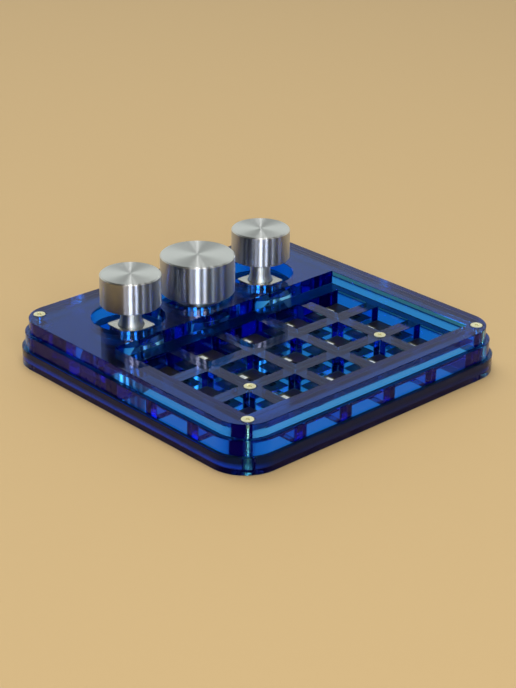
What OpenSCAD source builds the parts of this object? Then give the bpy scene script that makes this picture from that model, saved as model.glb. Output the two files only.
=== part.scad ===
// Macro keypad with three knobs: a stack of clear sheets that clamps a switch plate, a black
// circuit board and three push-button rotary encoders. The keys' switches and caps are not fitted.
// Millimetres. X runs along the rows of keys, Y from the keys towards the knobs, Z up.
// The origin is the centre of the bottom face.

/* [Key field] */
// Distance from the centre of one key to the centre of the next
key_pitch = 19.05; // [18.6:0.05:21]
// Number of keys in a row
key_columns = 5; // [4:1:7]
// Number of rows of keys
key_rows = 3; // [2:1:5]
// Side of the square cut-out that a switch snaps into
cutout_side = 13.8; // [13.4:0.1:14.4]
// Radius in the corners of a cut-out
cutout_corner = 0.3; // [0.1:0.1:1]

/* [Stack of sheets] */
// Thickness of the top frame
top_thickness = 4.5; // [3.5:0.5:6]
// Thickness of the switch plate
plate_thickness = 5; // [4:0.5:6]
// Thickness of the bottom case
base_thickness = 5.6; // [5:0.1:8]
// Floor left under the pocket of the bottom case
base_floor = 1.2; // [0.8:0.1:1.8]
// Wall left around the pocket of the bottom case
base_wall = 2; // [1.5:0.1:3]
// Film of air between two sheets that lie on each other
sheet_gap = 0.05; // [0.02:0.01:0.1]

/* [Outline] */
// Width of the top frame's bar on the left and on the right of the keys
side_bar = 8.1; // [7:0.1:12]
// Width of the top frame's bar in front of the keys
front_bar = 7; // [6:0.1:12]
// Depth of the top frame's deck behind the keys, which the knobs stand on
deck_depth = 40.8; // [38:0.2:50]
// Window edge beyond the outer keys' units, left and right
window_side_gap = 0.25; // [0:0.05:1]
// Window edge beyond the front row's units
window_front_gap = 0.8; // [0:0.1:2]
// Window edge beyond the back row's units
window_back_gap = 3.2; // [0.5:0.1:4]
// Radius in the corners of the window
window_corner = 0.6; // [0.3:0.1:2]
// Step by which the switch plate stands out beyond the top frame
plate_step = 1.35; // [0.5:0.05:2]
// Step by which the bottom case stands out beyond the switch plate
base_step = 1.15; // [0.5:0.05:2]
// Corner radius of the top frame
top_corner = 10.2; // [8:0.1:13]

/* [Screws] */
// Corner screw's distance from the side edge of the top frame
corner_inset_x = 6; // [5:0.1:7]
// Corner screw's distance from the front and back edges of the top frame
corner_inset_y = 4.6; // [4.4:0.1:6]
// Diameter of a screw's thread
screw_thread = 2; // [1.6:0.1:2.2]
// Diameter of a screw's countersunk head
screw_head = 3.9; // [3.4:0.1:4.4]
// Depth of the countersink that a screw's head sits in
head_sink = 0.7; // [0.3:0.1:0.9]
// Play all round a screw in the holes of the sheets and the board
screw_play = 0.2; // [0.1:0.05:0.3]
// Outside diameter of the threaded inserts in the bottom case
insert_diameter = 3.2; // [3:0.1:3.6]
// Thickness of the bottom case's floor under an insert
insert_floor = 0.4; // [0.3:0.1:1]
// Radius of the bottom case's bosses around the inserts
boss_radius = 4; // [3:0.1:4.5]
// Width across the flats of the nuts under the board
nut_flats = 4; // [3.6:0.1:4.5]
// Thickness of the nuts under the board
nut_thickness = 1.6; // [1.2:0.1:1.8]
// Diameter of the posts that carry the board
post_diameter = 4; // [3:0.1:4.5]

/* [Knobs] */
// Distance from one knob's axis to the next
knob_spacing = 28.6; // [26.5:0.1:30]
// Distance of the knobs' axes behind the window
knob_setback = 16.3; // [15:0.1:19]
// How far the row of knobs lies to the right of the keypad's middle
knob_shift = 0.6; // [-1:0.1:1]
// Diameter of the round holes in the deck under the knobs
knob_hole = 24.2; // [20:0.1:25.5]
// How far the row of round holes lies to the left of the keypad's middle
knob_hole_shift = 0.5; // [-1:0.1:1]
// Diameter of the two outer knobs
small_knob = 20; // [16:0.5:24]
// Height of the left knob's lower face above the deck
small_knob_lift = 4.1; // [3.5:0.1:6]
// Metal between the shaft's end and the top of the left knob
small_knob_cap = 2.8; // [1.5:0.1:5]
// How much higher the right knob is fixed on its shaft than the left one
right_knob_raise = 1.1; // [0:0.1:1.5]
// Diameter of the middle knob
large_knob = 25; // [20:0.5:27]
// Height of the middle knob's lower face above the deck
large_knob_lift = 0.8; // [0.8:0.1:2]
// Metal between the shaft's end and the top of the middle knob
large_knob_cap = 1.9; // [1:0.1:4]
// Chamfer around a knob's top and bottom faces
knob_chamfer = 0.4; // [0.2:0.1:0.8]
// Diameter of a knob's set screw
set_screw = 3; // [2:0.5:3]
// Length of a knob's set screw
set_screw_length = 4; // [3:0.5:5]

/* [Encoders] */
// Side of an encoder's steel cover
encoder_side = 11.5; // [11:0.1:12]
// Height of an encoder's body above the board
encoder_height = 6.5; // [6:0.1:7]
// Thickness of an encoder's steel cover
cover_sheet = 0.5; // [0.3:0.05:0.6]
// Diameter of an encoder's plain round neck
neck_diameter = 7; // [7:0.1:8]
// Height of the neck above the encoder's body
neck_height = 7; // [5:0.5:7]
// Diameter of an encoder's shaft
shaft_diameter = 6; // [5.8:0.1:6]
// Length of the shaft above the encoder's body
shaft_length = 15; // [14:0.5:16]
// Distance from the shaft's flat to the far side of the shaft
shaft_across_flat = 4.5; // [4.3:0.1:5]
// Travel of the shaft when the knob is pressed
press_travel = 0.5; // [0.3:0.1:0.6]
// Radial clearance of the shaft in its neck
shaft_clearance = 0.05; // [0.02:0.01:0.08]
// Opening of the switch plate around an encoder, along the row of knobs
encoder_opening_x = 13.6; // [13:0.1:15]
// Opening of the switch plate around an encoder, across the row of knobs
encoder_opening_y = 16.4; // [16:0.1:17]

/* [Circuit board] */
// Thickness of the circuit board
board_thickness = 1.6; // [1.2:0.1:1.6]
// Clearance between the board and the pocket's wall
board_clearance = 0.4; // [0.2:0.1:1]
// Width of a key's light, which shines up through a window in the board
led_width = 3.2; // [2.8:0.1:3.4]
// Depth of a key's light
led_depth = 2.8; // [2.2:0.1:2.8]
// Span of a light's legs under the board
led_legs = 5.8; // [5:0.1:6]
// Distance of a key's light behind the centre of the key
led_offset = 4.6; // [4.4:0.1:4.9]
// Width of the USB-C socket
usb_width = 8.94; // [8.9:0.01:9.2]
// Height of the USB-C socket
usb_height = 3.2; // [3.1:0.05:3.3]
// Depth of the USB-C socket
usb_depth = 7.35; // [7:0.05:8]
// Sheet thickness of the USB-C socket's shell
usb_sheet = 0.3; // [0.2:0.05:0.35]
// Distance of the USB-C socket's mouth inside the bottom case's back face
usb_setback = 0.2; // [0:0.1:0.8]

/* [Hidden] */
$fn = 64;
eps = 0.01;

// Colours of the finishes.
acrylic_blue = [0.08, 0.30, 0.85, 0.6];
board_black = [0.05, 0.05, 0.06];
brass = [0.80, 0.70, 0.42];
aluminium = [0.80, 0.81, 0.82];
steel = [0.70, 0.70, 0.70];
chip_black = [0.10, 0.10, 0.11];

// Outline of the three sheets, from the keys outwards.
window_w = key_columns * key_pitch + 2 * window_side_gap;
window_d = key_rows * key_pitch + window_front_gap + window_back_gap;
top_w = window_w + 2 * side_bar;
top_d = front_bar + window_d + deck_depth;
plate_w = top_w + 2 * plate_step;
plate_d = top_d + 2 * plate_step;
plate_corner = top_corner + plate_step;
base_w = plate_w + 2 * base_step;
base_d = plate_d + 2 * base_step;
base_corner = plate_corner + base_step;

// Where the window, the keys and the knobs lie.
window_front = -top_d / 2 + front_bar;
window_back = window_front + window_d;
knob_y = window_back + knob_setback;
left_x = knob_shift - knob_spacing;
centre_x = knob_shift;
right_x = knob_shift + knob_spacing;
function key_x(column) = (column - (key_columns - 1) / 2) * key_pitch;
function key_y(row) = window_front + window_front_gap + (row + 0.5) * key_pitch;

// Heights of the stack.
plate_z = base_thickness + sheet_gap;
top_z = plate_z + plate_thickness + sheet_gap;
deck_z = top_z + top_thickness;
board_top = base_thickness;
board_bottom = board_top - board_thickness;

// Pocket of the bottom case and the board in it.
pocket_w = base_w - 2 * base_wall;
pocket_d = base_d - 2 * base_wall;
pocket_corner = base_corner - base_wall;
board_w = pocket_w - 2 * board_clearance;
board_d = pocket_d - 2 * board_clearance;
board_corner = pocket_corner - board_clearance;
usb_back = base_d / 2 - usb_setback;

// Screws. A head's cone rests in the countersink at the top of its clearance hole.
corner_x = top_w / 2 - corner_inset_x;
corner_y = top_d / 2 - corner_inset_y;
CORNERS = [for (sx = [-1, 1], sy = [-1, 1]) [sx * corner_x, sy * corner_y]];
screw_hole = screw_thread + 2 * screw_play;
crossing_y = key_y(0) + key_pitch / 2;
PLATE_SCREWS = [for (side = [-1, 1]) [side * (key_x(0) + key_pitch / 2), crossing_y]];
head_rim = 0.2;
seat_clearance = 0.02;
cone_height = (screw_head - screw_thread) / 2;
cone_sink = screw_play - seat_clearance;
cross_length = 0.62 * screw_head;
cross_width = 0.55;
cross_depth = 0.7;
insert_clearance = 0.02;
corner_tip = insert_floor + 0.3;
plate_tip = board_bottom - nut_thickness - 0.3;

// Posts under the board: between the middle keys and between the knobs.
POSTS = concat(
    [for (column = [1 : 1 : key_columns - 3]) [key_x(column) + key_pitch / 2, crossing_y]],
    [for (side = [-1, 1]) [knob_shift + side * knob_spacing / 2, knob_y]]
);

// Hot-swap socket of one key, measured from the centre of the key.
socket_height = 1.75;
socket_pins = [[3.81, -2.54], [-2.54, -5.08]];
socket_pin_hole = 3;
stem_hole = 4;
peg_hole = 1.75;
peg_offset = 5.08;
hole_clearance = 0.1;
led_leg_sheet = 0.2;
led_leg_width = 0.7;
led_cup_depth = 0.15;

// Levels inside an encoder, measured up from the board.
cup_side = encoder_side - 2 * cover_sheet - 0.1;
base_top = encoder_height - cover_sheet - 1.2;
dome_floor = 0.8;
dome_pocket = 5.6;
dome_diameter = 5.2;
dome_height = 0.9;
dome_sheet = 0.12;
dome_crown = 1.1;
dome_rim = 2.2;
cavity_floor = 2.7;
cavity_diameter = 9.6;
rotor_diameter = 9;
rotor_bottom = cavity_floor + 0.25;
rotor_top = rotor_bottom + 1.1;
spring_outer = 9.4;
spring_inner = 7.8;
spring_sheet = 0.25;
collar_diameter = 7;
collar_recess = 7.5;
collar_top = base_top + 0.8;
collar_bottom = rotor_top + press_travel + 0.2;
recess_top = collar_top + 0.1;
tail_diameter = 5;
tail_flat = 1.8;
nib_diameter = 2.4;
nib_bottom = dome_floor + dome_height + 0.05;
tail_bottom = rotor_bottom;
neck_top = encoder_height + neck_height;
shaft_top = encoder_height + shaft_length;
flat_length = 7.5;
flat_y = shaft_across_flat - shaft_diameter / 2;
neck_foot = 0.6;
neck_edge = 0.3;
neck_foot_diameter = neck_diameter + 1.4;
// Place along X and side of each terminal: three at the front, two at the back.
TERMINALS = [[-2.5, -1], [0, -1], [2.5, -1], [-2.5, 1], [2.5, 1]];
terminal_width = 0.8;
terminal_level = 0.3;
terminal_sheet = 0.4;
terminal_reach = 7.2;
terminal_tip = -board_thickness - 1;
tab_width = 2.2;
strap_width = 7;
cover_corner = 1;

// Rectangle with round corners, extruded upwards from z = 0.
module rounded_plate(width, depth, height, radius) {
    linear_extrude(height) {
        square([width - 2 * radius, depth], center = true);
        square([width, depth - 2 * radius], center = true);
        for (sx = [-1, 1], sy = [-1, 1])
            translate([sx * (width / 2 - radius), sy * (depth / 2 - radius)])
                circle(radius);
    }
}

// Upright cylinder between two heights.
module post(diameter, bottom, top) {
    translate([0, 0, bottom])
        cylinder(d = diameter, h = top - bottom);
}

module ring(outer, inner, bottom, top) {
    difference() {
        post(outer, bottom, top);
        post(inner, bottom - 1, top + 1);
    }
}

// Puts its child on every key.
module each_key() {
    for (column = [0 : key_columns - 1], row = [0 : key_rows - 1])
        translate([key_x(column), key_y(row), 0])
            children();
}

// The sheets.

module top_frame() {
    color(acrylic_blue)
        difference() {
            translate([0, 0, top_z])
                rounded_plate(top_w, top_d, top_thickness, top_corner);
            translate([0, (window_front + window_back) / 2, top_z - 1])
                rounded_plate(window_w, window_d, top_thickness + 2, window_corner);
            for (place = [-1 : 1])
                translate([place * knob_spacing - knob_hole_shift, knob_y, 0])
                    post(knob_hole, top_z - 1, deck_z + 1);
            for (corner = CORNERS)
                translate(corner)
                    countersunk_hole(top_z, deck_z);
        }
}

// Cutter for a screw's hole through one sheet, with the countersink in the sheet's upper face.
module countersunk_hole(bottom, top) {
    over = 0.5;
    post(screw_hole, bottom - 1, top + over);
    translate([0, 0, top - head_sink])
        cylinder(d1 = screw_hole, d2 = screw_hole + 2 * (head_sink + over), h = head_sink + over);
}

module switch_plate() {
    color(acrylic_blue)
        difference() {
            translate([0, 0, plate_z])
                rounded_plate(plate_w, plate_d, plate_thickness, plate_corner);
            translate([0, 0, plate_z - 1])
                each_key()
                    rounded_plate(cutout_side, cutout_side, plate_thickness + 2, cutout_corner);
            for (x = [left_x, centre_x, right_x])
                translate([x, knob_y, plate_z - 1])
                    rounded_plate(encoder_opening_x, encoder_opening_y, plate_thickness + 2, cutout_corner);
            for (corner = CORNERS)
                translate(corner)
                    post(screw_hole, plate_z - 1, top_z);
            for (place = PLATE_SCREWS)
                translate(place)
                    countersunk_hole(plate_z, plate_z + plate_thickness);
            usb_notch(plate_z - 1, top_z);
        }
}

module bottom_case() {
    color(acrylic_blue)
        difference() {
            rounded_plate(base_w, base_d, base_thickness, base_corner);
            difference() {
                translate([0, 0, base_floor])
                    rounded_plate(pocket_w, pocket_d, base_thickness, pocket_corner);
                for (corner = CORNERS)
                    translate(corner)
                        post(2 * boss_radius, 0, base_thickness);
                for (place = POSTS)
                    translate(place)
                        post(post_diameter, 0, board_bottom);
            }
            for (corner = CORNERS)
                translate(corner)
                    post(insert_diameter + 2 * insert_clearance, insert_floor, base_thickness + 1);
        }
}

// Slot in the back edge of a sheet, around the USB-C socket.
module usb_notch(bottom, top) {
    translate([-usb_width / 2 - board_clearance, usb_back - usb_depth - board_clearance, bottom])
        cube([usb_width + 2 * board_clearance, usb_depth + 5, top - bottom]);
}

// The circuit board and what is soldered to it.

module circuit_board() {
    under = board_bottom - 1;
    over = board_top + 1;
    color(board_black)
        difference() {
            translate([0, 0, board_bottom])
                rounded_plate(board_w, board_d, board_thickness - sheet_gap, board_corner);
            for (corner = CORNERS)
                translate(corner)
                    post(2 * (boss_radius + board_clearance), under, over);
            for (place = PLATE_SCREWS)
                translate(place)
                    post(screw_hole, under, over);
            each_key() {
                post(stem_hole, under, over);
                for (side = [-1, 1])
                    translate([side * peg_offset, 0, 0])
                        post(peg_hole, under, over);
                for (pin = socket_pins)
                    translate(pin)
                        post(socket_pin_hole, under, over);
                translate([0, led_offset, 0])
                    board_slot(led_width, led_depth, under, over);
            }
            for (x = [left_x, centre_x, right_x])
                translate([x, knob_y, 0])
                    encoder_board_slots(under, over);
        }
}

// Slots in the board for one encoder's terminals and for the tabs of its cover.
module encoder_board_slots(bottom, top) {
    for (place = TERMINALS)
        translate([place[0], place[1] * terminal_reach, 0])
            board_slot(terminal_width, terminal_sheet, bottom, top);
    for (side = [-1, 1])
        translate([side * (encoder_side - cover_sheet) / 2, 0, 0])
            board_slot(cover_sheet, tab_width, bottom, top);
}

// Slot that clears a tab of the given width and depth.
module board_slot(width, depth, bottom, top) {
    slot = [width + 2 * hole_clearance, depth + 2 * hole_clearance, top - bottom];
    translate([0, 0, (bottom + top) / 2])
        cube(slot, center = true);
}

// Hot-swap sockets hang under the board, with a barrel in each of the two pin holes.
module socket_housings() {
    color(chip_black)
        each_key() {
            difference() {
                union() {
                    translate([-0.4, -4.6, board_bottom - socket_height])
                        cube([6.4, 4.1, socket_height]);
                    translate([-4.9, -7.1, board_bottom - socket_height])
                        cube([7.4, 4.1, socket_height]);
                    for (pin = socket_pins)
                        translate(pin)
                            post(socket_pin_hole - hole_clearance, board_bottom - eps, board_top - 0.4);
                }
                for (pin = socket_pins)
                    translate(pin)
                        post(1.6, board_bottom - socket_height + 0.4, board_top);
            }
        }
}

// Solder wings of the hot-swap sockets.
module socket_contacts() {
    wing = [2, 1.7, 0.5];
    color(brass)
        each_key() {
            translate([6, socket_pins[0][1] - wing[1] / 2, board_bottom - wing[2]])
                cube(wing);
            translate([-4.9 - wing[0], socket_pins[1][1] - wing[1] / 2, board_bottom - wing[2]])
                cube(wing);
        }
}

// Each light fills its window up to the board's upper face and hangs by legs under the board.
module key_leds() {
    cup = 0.8 * led_depth;
    body_top = board_top - sheet_gap;
    leg_bottom = board_bottom - led_leg_sheet;
    color("white")
        each_key()
            translate([0, led_offset, 0])
                difference() {
                    union() {
                        translate([0, 0, leg_bottom])
                            rounded_plate(led_width, led_depth, body_top - leg_bottom, 0.2);
                        for (side = [-1, 1])
                            translate([0, side * (led_depth - led_leg_width) / 2, leg_bottom])
                                rounded_plate(led_legs, led_leg_width, led_leg_sheet, 0.1);
                    }
                    post(cup, body_top - led_cup_depth, body_top + 1);
                }
}

module key_diodes() {
    color(chip_black)
        each_key()
            translate([0, 7.6, board_bottom - 1])
                rounded_plate(2.7, 1.6, 1, 0.1);
}

// Flat chip under the board, at a place on the board.
module chip(place, size, height) {
    translate([place[0], place[1], board_bottom - height])
        rounded_plate(size[0], size[1], height, 0.15);
}
chip_row = knob_y + 14.5;

module microcontroller() {
    color(chip_black)
        chip([-knob_spacing / 2, chip_row], [7, 7], 0.9);
}

module flash_chip() {
    color(chip_black)
        chip([-knob_spacing, chip_row], [5.2, 5.2], 1);
}

module crystal() {
    color(steel)
        chip([-knob_spacing / 2 + 7.5, chip_row], [2.5, 3.2], 0.8);
}

module voltage_regulator() {
    color(chip_black)
        chip([knob_spacing / 2, chip_row], [3, 3], 1.1);
}

module capacitors() {
    color([0.70, 0.62, 0.50])
        for (step = [0 : 3])
            chip([knob_spacing / 2 + 4 + 2.2 * step, chip_row], [1.25, 2], 0.8);
}

// Stadium with its round ends left and right, standing on its long edge, extruded along +Y.
module usb_stadium(inset, back, front) {
    width = usb_width - 2 * inset;
    height = usb_height - 2 * inset;
    radius = height / 2 - 0.35;
    translate([0, back, board_top + usb_height / 2])
        rotate([90, 0, 0])
            translate([0, 0, -(front - back)])
                rounded_plate(width, height, front - back, radius);
}

module usb_shell() {
    color(steel)
        difference() {
            usb_stadium(0, usb_back - usb_depth, usb_back);
            usb_stadium(usb_sheet, usb_back - usb_depth + usb_sheet, usb_back + 1);
        }
}

module usb_tongue() {
    color(chip_black) {
        translate([-3.35, usb_back - usb_depth + usb_sheet, board_top + usb_height / 2 - 0.35])
            cube([6.7, usb_depth - usb_sheet - 1.2, 0.7]);
        translate([-3.8, usb_back - usb_depth + usb_sheet, board_top + usb_height / 2 - 1.1])
            cube([7.6, 1.6, 2.2]);
    }
}

// The fasteners.

// Countersunk screw in a sheet whose upper face is at face_z, with its tip at tip_z.
module countersunk_screw(face_z, tip_z) {
    cone_bottom = face_z - head_sink - cone_sink;
    head_top = cone_bottom + cone_height + head_rim;
    difference() {
        union() {
            post(screw_thread, tip_z, cone_bottom + eps);
            translate([0, 0, cone_bottom])
                cylinder(d1 = screw_thread, d2 = screw_head, h = cone_height);
            post(screw_head, head_top - head_rim, head_top);
        }
        for (turn = [0, 90])
            rotate([0, 0, turn])
                translate([-cross_length / 2, -cross_width / 2, head_top - cross_depth])
                    cube([cross_length, cross_width, cross_depth + 1]);
    }
}

module corner_screws() {
    color(brass)
        for (corner = CORNERS)
            translate(corner)
                countersunk_screw(deck_z, corner_tip);
}

module corner_inserts() {
    color(brass)
        for (corner = CORNERS)
            translate(corner)
                ring(insert_diameter, screw_thread + 2 * insert_clearance, insert_floor, base_thickness);
}

module plate_screws() {
    color(brass)
        for (place = PLATE_SCREWS)
            translate(place)
                countersunk_screw(plate_z + plate_thickness, plate_tip);
}

module plate_nuts() {
    color(brass)
        for (place = PLATE_SCREWS)
            translate([place[0], place[1], board_bottom - nut_thickness])
                difference() {
                    cylinder(d = nut_flats / cos(30), h = nut_thickness, $fn = 6);
                    post(screw_thread + 2 * insert_clearance, -1, nut_thickness + 1);
                }
}

// One encoder. Each module stands on the board with its axis at x = 0, y = 0.

module at_encoder(x) {
    translate([x, knob_y, board_top])
        children();
}

// Plastic base: a cup for the rotor, with a smaller pocket for the push switch below it.
module encoder_base(x) {
    color(chip_black)
        at_encoder(x)
            difference() {
                rounded_plate(cup_side, cup_side, base_top, 0.6);
                post(dome_pocket, dome_floor, cavity_floor + eps);
                post(cavity_diameter, cavity_floor, base_top + 1);
            }
}

// Steel cover: a top sheet, and a strap down either side with a tab through the board.
module encoder_cover(x) {
    color(steel)
        at_encoder(x)
            difference() {
                union() {
                    translate([0, 0, encoder_height - cover_sheet])
                        rounded_plate(encoder_side, encoder_side, cover_sheet, cover_corner);
                    for (side = [-1, 1])
                        translate([side * (encoder_side - cover_sheet) / 2, 0, 0]) {
                            translate([-cover_sheet / 2, -strap_width / 2, 0.05])
                                cube([cover_sheet, strap_width, encoder_height - cover_sheet]);
                            translate([-cover_sheet / 2, -tab_width / 2, terminal_tip])
                                cube([cover_sheet, tab_width, 1 - terminal_tip]);
                        }
                }
                post(neck_foot_diameter + 2 * hole_clearance, encoder_height - 1, encoder_height + 1);
            }
}

// Cast flange under the cover, and the plain neck that stands up from it.
module encoder_neck(x) {
    flange_top = encoder_height - cover_sheet;
    neck_radius = neck_diameter / 2;
    color(aluminium)
        at_encoder(x)
            difference() {
                union() {
                    translate([0, 0, base_top])
                        rounded_plate(cup_side, cup_side, flange_top - base_top, 0.6);
                    post(neck_foot_diameter, base_top, encoder_height + neck_foot);
                    rotate_extrude()
                        polygon([[0, base_top], [neck_radius, base_top], [neck_radius, neck_top - neck_edge],
                                 [neck_radius - neck_edge / 2, neck_top], [0, neck_top]]);
                }
                post(shaft_diameter + 2 * shaft_clearance, base_top - 1, neck_top + 1);
                post(collar_recess, base_top - 1, recess_top);
            }
}

// Bent pins: each leaves the base level and turns down through the board.
module terminals(x) {
    reach = terminal_reach + terminal_sheet / 2 - cup_side / 2;
    drop = terminal_level + terminal_sheet - terminal_tip;
    color(steel)
        at_encoder(x)
            for (place = TERMINALS)
                mirror([0, place[1] < 0 ? 1 : 0, 0])
                    translate([place[0] - terminal_width / 2, cup_side / 2, 0]) {
                        translate([0, 0, terminal_level])
                            cube([terminal_width, reach, terminal_sheet]);
                        translate([0, reach - terminal_sheet, terminal_tip])
                            cube([terminal_width, terminal_sheet, drop]);
                    }
}

// Leaf ring that gives the clicks. It hangs under the flange.
module detent_spring(x) {
    color(steel)
        at_encoder(x)
            ring(spring_outer, spring_inner, base_top - spring_sheet, base_top);
}

// Snap dome of the push switch: a shallow bowl, upside down on the floor of its pocket.
module switch_dome(x) {
    color(steel)
        at_encoder(x)
            translate([0, 0, dome_floor])
                rotate_extrude()
                    polygon([
                        [0, dome_height - dome_sheet], [0, dome_height], [dome_crown, dome_height],
                        [dome_rim, dome_sheet], [dome_diameter / 2, dome_sheet], [dome_diameter / 2, 0],
                        [dome_rim - dome_sheet, 0], [dome_crown - dome_sheet, dome_height - dome_sheet],
                    ]);
}

// Disc that turns with the shaft, which slides in its flatted bore.
module rotor(x) {
    color([0.85, 0.83, 0.78])
        at_encoder(x)
            difference() {
                post(rotor_diameter, rotor_bottom, rotor_top);
                flatted(tail_diameter + 2 * shaft_clearance, tail_flat + shaft_clearance,
                    rotor_bottom - 1, rotor_top + 1);
            }
}

// Round bar with one flat towards +Y.
module flatted(diameter, flat, bottom, top) {
    difference() {
        post(diameter, bottom, top);
        translate([-diameter, flat, bottom - 1])
            cube([2 * diameter, diameter, top - bottom + 2]);
    }
}

module shaft(x) {
    color(aluminium)
        at_encoder(x) {
            post(nib_diameter, nib_bottom, tail_bottom + eps);
            flatted(tail_diameter, tail_flat, tail_bottom, collar_bottom + eps);
            post(collar_diameter, collar_bottom, collar_top);
            post(shaft_diameter, collar_top - eps, shaft_top - flat_length);
            flatted(shaft_diameter, flat_y, shaft_top - flat_length - eps, shaft_top);
        }
}

// The knobs. Their heights are measured up from the board, as in an encoder.

knob_relief = neck_diameter + 4;
relief_top = neck_top + press_travel + 0.4;
bore_top = shaft_top + 0.1;
function knob_bottom(lift) = deck_z - board_top + lift;
function set_screw_z(lift) = (max(knob_bottom(lift), relief_top) + shaft_top) / 2;

module knob(x, diameter, lift, cap) {
    bottom = knob_bottom(lift);
    top = shaft_top + cap;
    radius = diameter / 2;
    color(aluminium)
        at_encoder(x)
            difference() {
                rotate_extrude()
                    polygon([
                        [0, bottom], [radius - knob_chamfer, bottom], [radius, bottom + knob_chamfer],
                        [radius, top - knob_chamfer], [radius - knob_chamfer, top], [0, top],
                    ]);
                flatted(shaft_diameter + 2 * shaft_clearance, flat_y + shaft_clearance,
                    bottom - 2, bore_top);
                if (relief_top > bottom)
                    post(knob_relief, bottom - 1, relief_top);
                translate([0, 0, set_screw_z(lift)])
                    rotate([-90, 0, 0])
                        cylinder(d = set_screw + 2 * insert_clearance, h = diameter);
            }
}

// Headless screw that bears on the shaft's flat, with a hexagon socket in its outer end.
module knob_set_screw(x, lift) {
    color(steel)
        at_encoder(x)
            translate([0, flat_y + insert_clearance, set_screw_z(lift)])
                rotate([-90, 0, 0])
                    difference() {
                        cylinder(d = set_screw, h = set_screw_length);
                        translate([0, 0, set_screw_length / 2])
                            cylinder(d = set_screw / 2 / cos(30), h = set_screw_length, $fn = 6);
                    }
}

top_frame();
switch_plate();
bottom_case();
circuit_board();
corner_screws();
corner_inserts();
plate_screws();
plate_nuts();
socket_housings();
socket_contacts();
key_leds();
key_diodes();
microcontroller();
flash_chip();
crystal();
voltage_regulator();
capacitors();
usb_shell();
usb_tongue();

encoder_base(left_x);  // left_encoder_base
encoder_cover(left_x);  // left_encoder_cover
encoder_neck(left_x);  // left_encoder_neck
terminals(left_x);  // left_terminals
detent_spring(left_x);  // left_detent_spring
switch_dome(left_x);  // left_switch_dome
rotor(left_x);  // left_rotor
shaft(left_x);  // left_shaft
knob(left_x, small_knob, small_knob_lift, small_knob_cap);  // left_knob
knob_set_screw(left_x, small_knob_lift);  // left_set_screw

encoder_base(centre_x);  // centre_encoder_base
encoder_cover(centre_x);  // centre_encoder_cover
encoder_neck(centre_x);  // centre_encoder_neck
terminals(centre_x);  // centre_terminals
detent_spring(centre_x);  // centre_detent_spring
switch_dome(centre_x);  // centre_switch_dome
rotor(centre_x);  // centre_rotor
shaft(centre_x);  // centre_shaft
knob(centre_x, large_knob, large_knob_lift, large_knob_cap);  // centre_knob
knob_set_screw(centre_x, large_knob_lift);  // centre_set_screw

encoder_base(right_x);  // right_encoder_base
encoder_cover(right_x);  // right_encoder_cover
encoder_neck(right_x);  // right_encoder_neck
terminals(right_x);  // right_terminals
detent_spring(right_x);  // right_detent_spring
switch_dome(right_x);  // right_switch_dome
rotor(right_x);  // right_rotor
shaft(right_x);  // right_shaft
knob(right_x, small_knob, small_knob_lift + right_knob_raise, small_knob_cap + right_knob_raise);  // right_knob
knob_set_screw(right_x, small_knob_lift + right_knob_raise);  // right_set_screw
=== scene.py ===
# %% [markdown]
# # A clear blue macro keypad with three metal knobs
# The keypad is a stack of three clear sheets, each a little wider than the one above it. They
# clamp a black circuit board, and three push-and-turn encoders with metal knobs stand on it.
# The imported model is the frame. Every piece made here goes where its node is, so each step
# reads its place and size from the node's box, in millimetres.

# %% Load the frame
import math

import bmesh
import bpy
from mathutils import Matrix, Vector


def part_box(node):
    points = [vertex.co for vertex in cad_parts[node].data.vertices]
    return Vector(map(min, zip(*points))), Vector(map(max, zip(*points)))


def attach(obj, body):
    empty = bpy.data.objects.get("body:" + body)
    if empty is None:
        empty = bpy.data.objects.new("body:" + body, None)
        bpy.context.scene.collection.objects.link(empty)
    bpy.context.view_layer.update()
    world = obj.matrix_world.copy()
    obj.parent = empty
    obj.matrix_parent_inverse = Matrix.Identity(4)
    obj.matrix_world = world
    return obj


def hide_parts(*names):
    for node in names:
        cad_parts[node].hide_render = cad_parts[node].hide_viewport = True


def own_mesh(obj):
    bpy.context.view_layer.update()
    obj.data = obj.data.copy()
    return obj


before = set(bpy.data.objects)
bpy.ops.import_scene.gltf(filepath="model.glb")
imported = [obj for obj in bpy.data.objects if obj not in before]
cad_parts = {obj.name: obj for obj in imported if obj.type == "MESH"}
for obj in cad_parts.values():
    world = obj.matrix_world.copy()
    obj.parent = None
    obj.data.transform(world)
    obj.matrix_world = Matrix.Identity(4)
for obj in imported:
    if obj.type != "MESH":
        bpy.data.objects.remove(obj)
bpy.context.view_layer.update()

scene = bpy.context.scene
MM = 0.001


def span(node):
    """Lowest and highest corner of a node, in millimetres."""
    low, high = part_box(node)
    return low / MM, high / MM


def add_object(name, data):
    made = bpy.data.objects.new(name, data)
    scene.collection.objects.link(made)
    return made


# %% [markdown]
# ## The view
# The keypad is seen from its front left corner, about 25 degrees above the table, through a long
# lens. Cycles needs more bounces than usual, because light crosses many faces of clear plastic.

# %% Camera
EYE = Vector((-354.13, -378.17, 244.44)) * MM
HEADING = math.radians(43.16)
DROP = math.radians(24.65)
LEAN = math.radians(0.73)
FRAME_WIDTH = 516
FOCAL_PIXELS = 1754.1

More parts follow.
